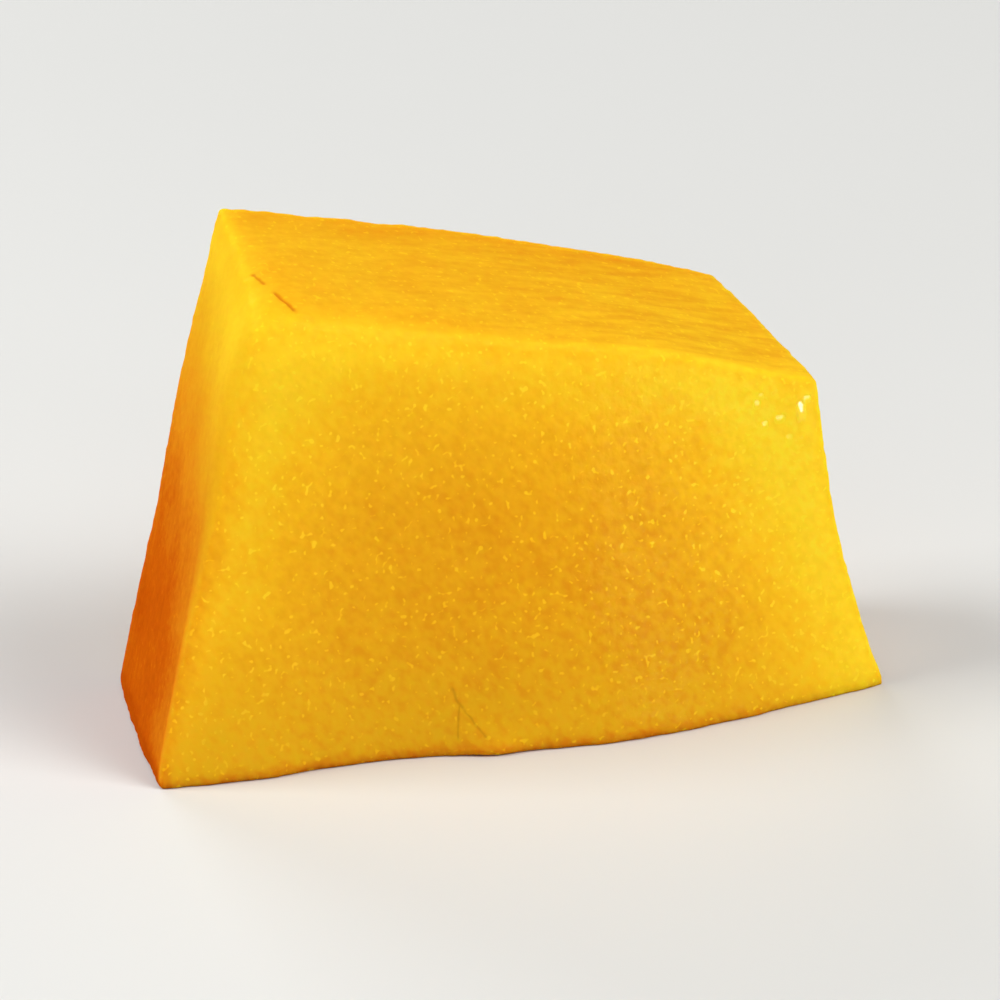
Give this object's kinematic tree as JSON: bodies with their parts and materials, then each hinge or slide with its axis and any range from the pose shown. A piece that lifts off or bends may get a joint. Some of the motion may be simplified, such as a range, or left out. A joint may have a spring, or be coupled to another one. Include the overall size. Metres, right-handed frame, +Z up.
{
  "type": "mango chunk",
  "caption": "Block of fresh ripe mango flesh, peeled on its bellied front and knife-cut on its other faces, tall at one end and low at the other, resting on a flat foot.",
  "frame": {"origin": "middle of the base of the bounding box, on the flat foot", "axes": "+X along the front foot from the tall end to the low end, +Y from the peeled front to the cut back, +Z up"},
  "size_m": [0.0386, 0.0168, 0.0247],
  "materials": {
    "mango_flesh": "ripe golden-orange mango flesh, wet and slightly glossy"
  },
  "bodies": {
    "root": {"mango_chunk": "mango_flesh"}
  },
  "joints": []
}
